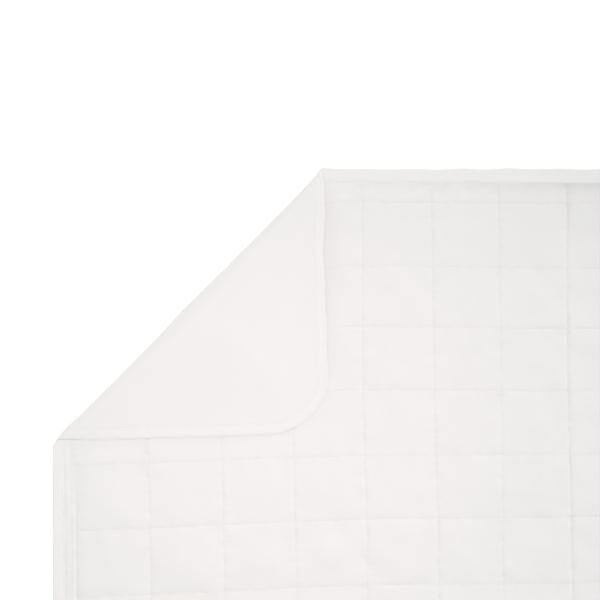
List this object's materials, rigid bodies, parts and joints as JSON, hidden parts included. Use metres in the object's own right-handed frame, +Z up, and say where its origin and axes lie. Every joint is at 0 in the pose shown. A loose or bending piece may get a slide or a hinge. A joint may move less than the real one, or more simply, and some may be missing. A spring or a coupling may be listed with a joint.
{
  "type": "quilted blanket",
  "caption": "Rectangular quilted blanket lying flat, with sewn squares on the front, a plain plush back, a bound edge with round corners and one corner folded over.",
  "frame": {"origin": "on the surface the blanket lies on, under the middle of its box", "axes": "+Z up from the surface, +Y along the blanket towards the end with the folded corner, +X across it; the folded corner is at -X, +Y"},
  "size_m": [1.2192, 1.8368, 0.014],
  "materials": {
    "front_cloth": "off-white woven cotton, quilted",
    "plush_cloth": "off-white short plush",
    "binding_cloth": "off-white woven cotton strip, topstitched"
  },
  "bodies": {
    "root": {"quilted_front": "front_cloth", "plain_backing": "plush_cloth", "edge_binding": "binding_cloth"}
  },
  "joints": []
}
